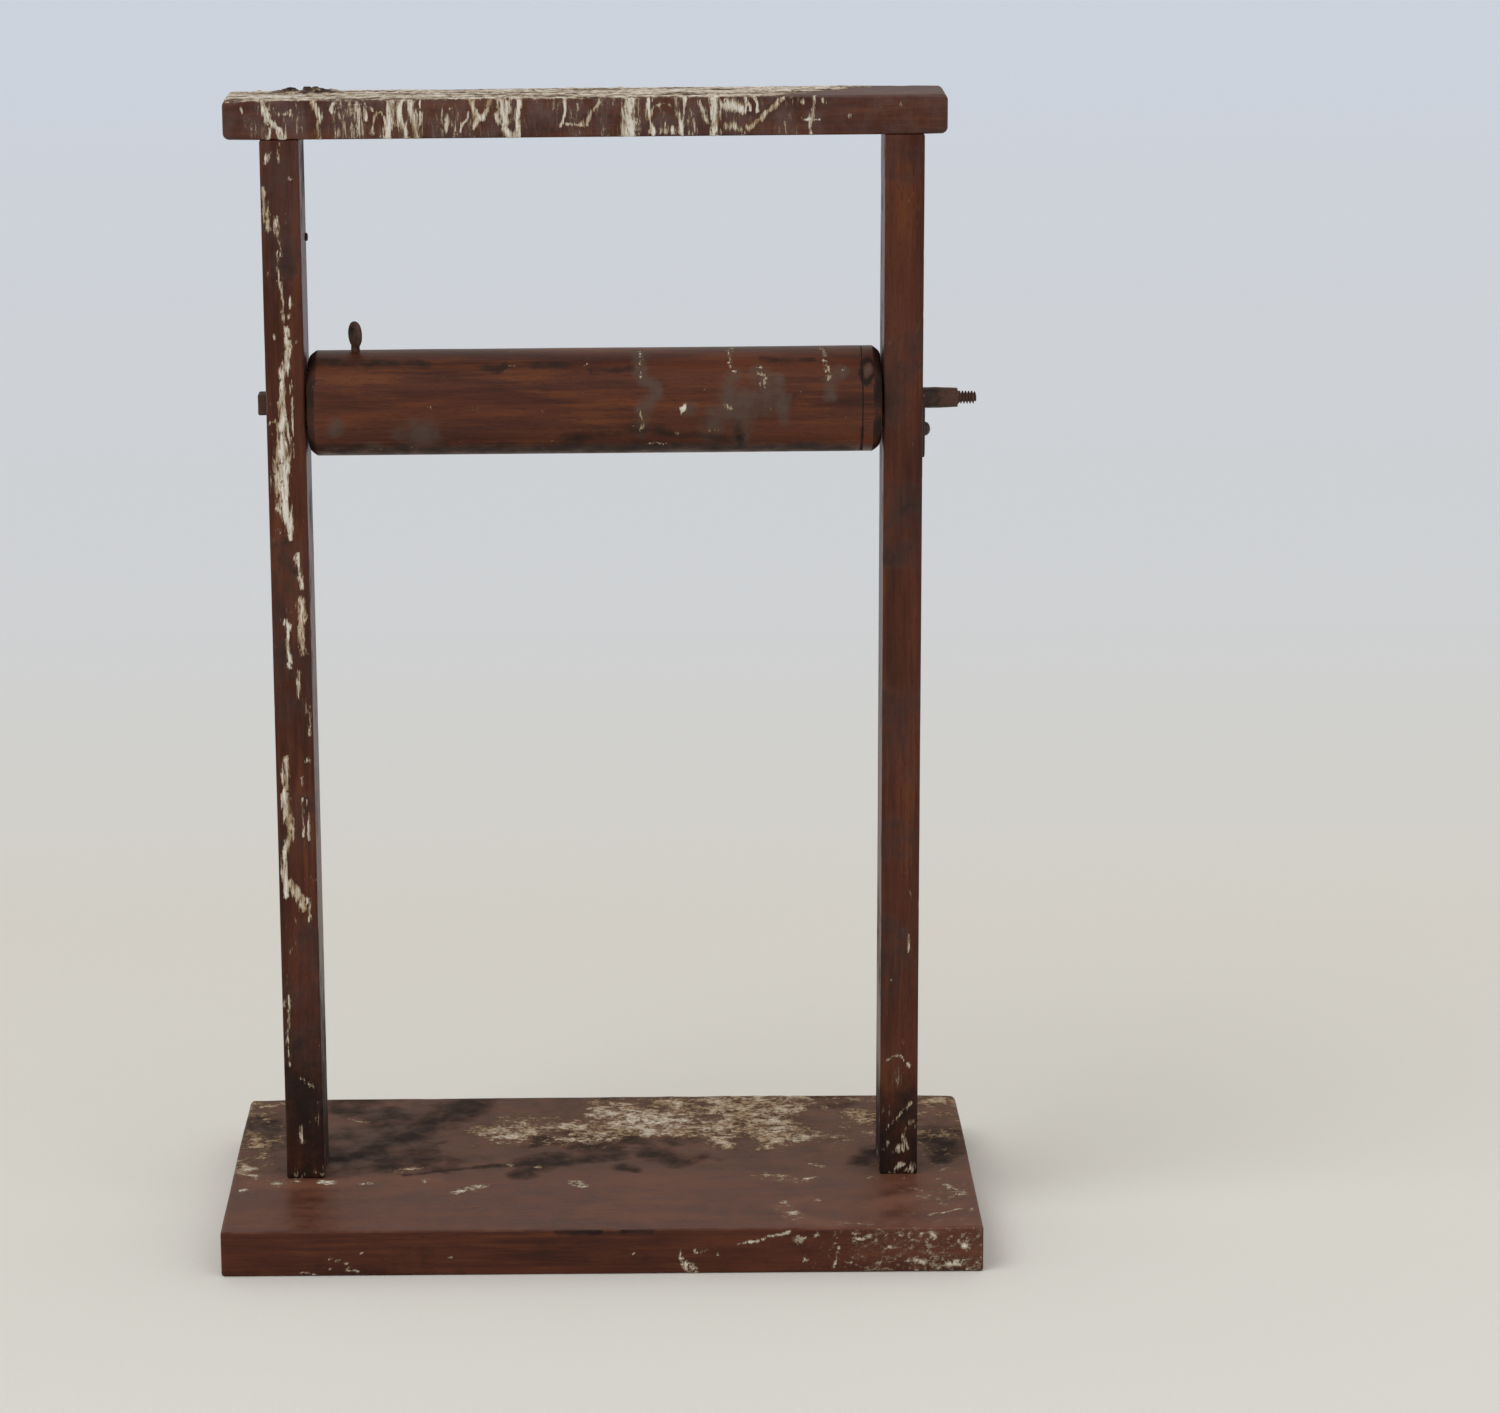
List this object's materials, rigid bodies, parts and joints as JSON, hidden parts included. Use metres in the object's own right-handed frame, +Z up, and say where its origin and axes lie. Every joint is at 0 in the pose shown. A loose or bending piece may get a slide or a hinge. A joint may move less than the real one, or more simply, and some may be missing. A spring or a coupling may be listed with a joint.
{
  "type": "mangle",
  "caption": "Small table mangle of dark hardwood: a roller turned by a crank axle between two posts, with a flat base board below and a plain rail across the top.",
  "frame": {"origin": "middle of the underside of the base board, on the surface that it stands on", "axes": "+Z up along the posts; +X along the roller towards its crank end; -Y towards the person who turns it"},
  "size_m": [0.276, 0.147, 0.419],
  "materials": {
    "stand_wood": "old oiled mahogany, soiled and weathered",
    "roller_wood": "polished mahogany with dark streaks",
    "dark_iron": "dark wrought iron with thin rust",
    "rusty_iron": "brown rust all over"
  },
  "bodies": {
    "stand": {"base_board": "stand_wood", "left_post": "stand_wood", "right_post": "stand_wood", "top_rail": "stand_wood", "left_foot_screw_front": "dark_iron", "left_foot_screw_rear": "dark_iron", "right_foot_screw_front": "dark_iron", "right_foot_screw_rear": "dark_iron", "left_rail_nail": "dark_iron", "right_rail_nail": "dark_iron", "old_post_nail": "dark_iron", "saddle_plate": "dark_iron", "saddle_screw": "dark_iron"},
    "roller": {"roller_barrel": "roller_wood", "roller_cap": "roller_wood", "cap_brad_front": "dark_iron", "cap_brad_rear": "dark_iron", "crank_axle": "dark_iron", "pivot_screw": "rusty_iron", "eye_screw": "rusty_iron"}
  },
  "joints": [
    {"name": "roller_spin", "type": "hinge", "parent": "stand", "child": "roller", "pos_m": [0, -0.003, 0.3082], "axis": [1, 0, 0], "continuous": true}
  ]
}
